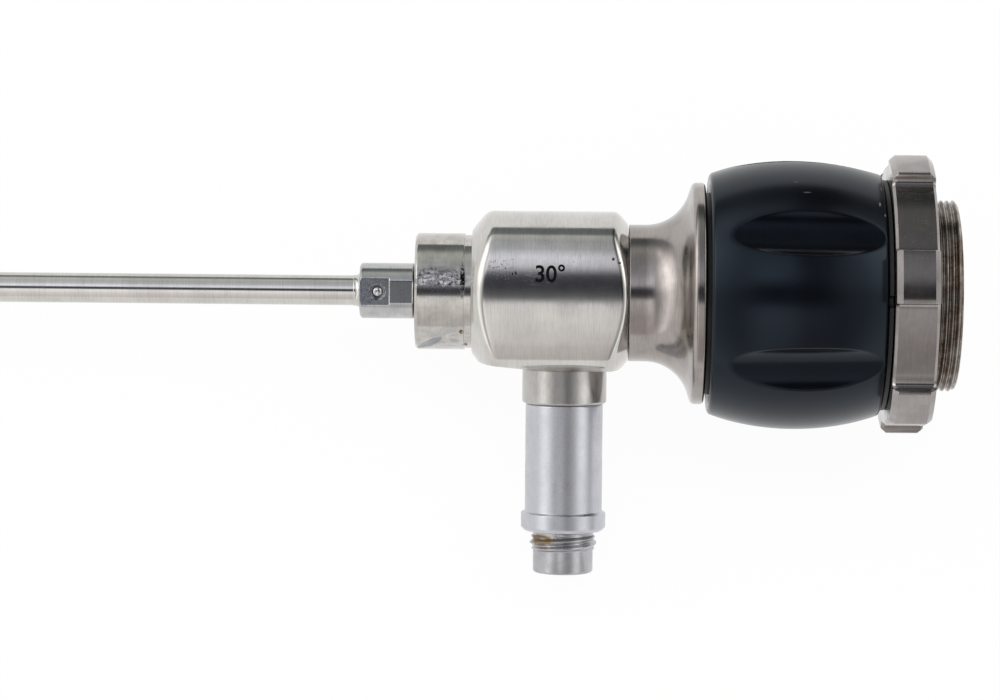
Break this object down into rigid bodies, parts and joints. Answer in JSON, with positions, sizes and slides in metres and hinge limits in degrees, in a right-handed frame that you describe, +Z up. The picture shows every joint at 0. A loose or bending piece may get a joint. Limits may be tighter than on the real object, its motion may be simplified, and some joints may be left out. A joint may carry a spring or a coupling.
{
  "type": "rigid endoscope",
  "caption": "Rigid oblique-view surgical endoscope with a light post, a swivelling focus coupler, a scalloped focus ring and a lobed lock nut on its camera thread.",
  "frame": {"origin": "middle of the footprint, on the table that the instrument lies on", "axes": "+X along the instrument towards the camera end, +Z up from the table, light post towards -Y and down to the table"},
  "size_m": [0.2392, 0.0552, 0.0382],
  "materials": {
    "instrument_steel": "bright fine-brushed stainless steel",
    "collar_steel": "burnished stainless steel with light stains",
    "hub_steel": "satin stainless steel with milled flats",
    "post_steel": "satin stainless steel",
    "neck_steel": "warm satin stainless steel",
    "nut_steel": "burnished stainless steel with bright bevels",
    "mount_steel": "turned stainless steel, stained in the thread",
    "ring_anodised": "blue-black anodised satin",
    "barrel_anodised": "matt black anodised",
    "inner_brass": "turned brass",
    "lens_glass": "coated optical glass",
    "fibre_glass": "bonded light fibres with a polished end",
    "seal_rubber": "black seal rubber",
    "slip_plastic": "white low-friction plastic"
  },
  "bodies": {
    "scope": {"sheath_tube": "instrument_steel", "optic_tube": "instrument_steel", "tip_window": "lens_glass", "tip_prism": "lens_glass", "objective_lens": "lens_glass", "rod_lenses": "lens_glass", "rod_spacers": "inner_brass", "fibre_bundle": "fibre_glass", "tube_fillet": "instrument_steel", "sheath_hub": "hub_steel", "hub_pin": "instrument_steel", "lock_collar": "collar_steel", "scope_housing": "instrument_steel", "post_collar": "collar_steel", "post_sleeve": "post_steel", "post_core": "mount_steel", "post_ferrule": "inner_brass", "ocular_tube": "neck_steel", "field_stop": "barrel_anodised", "ocular_lens": "lens_glass", "ocular_lens_ring": "inner_brass", "swivel_washer": "slip_plastic", "swivel_o_ring": "seal_rubber", "swivel_clip": "instrument_steel"},
    "coupler": {"neck_funnel": "neck_steel", "coupler_barrel": "barrel_anodised", "front_ring_seal": "seal_rubber", "rear_ring_seal": "seal_rubber", "mount_sleeve": "mount_steel", "ring_stop": "barrel_anodised", "rear_window": "lens_glass", "window_ring": "barrel_anodised"},
    "ring": {"focus_ring": "ring_anodised"},
    "cell": {"focus_cell": "barrel_anodised", "drive_pin": "instrument_steel", "crown_lens": "lens_glass", "flint_lens": "lens_glass", "cell_lens_ring": "barrel_anodised"},
    "nut": {"lock_nut": "nut_steel"}
  },
  "joints": [
    {"name": "swivel", "type": "hinge", "parent": "scope", "child": "coupler", "pos_m": [0.0754, 0.00906, 0.01641], "axis": [0.9973, 0, 0.0736], "continuous": true},
    {"name": "focus_turn", "type": "hinge", "parent": "coupler", "child": "ring", "pos_m": [0.09744, 0.00906, 0.01804], "axis": [0.9973, 0, 0.0736], "range_deg": [-60, 60]},
    {"name": "focus_slide", "type": "slide", "parent": "coupler", "child": "cell", "axis": [0.9973, 0, 0.0736], "range_m": [-0.00125, 0.00125]},
    {"name": "nut_turn", "type": "hinge", "parent": "coupler", "child": "nut", "pos_m": [0.10953, 0.00906, 0.01893], "axis": [0.9973, 0, 0.0736], "range_deg": [0, 360]}
  ],
  "couplings": [
    {"joint": "focus_slide", "follows": "focus_turn", "m_per_rad": -0.0011937}
  ]
}
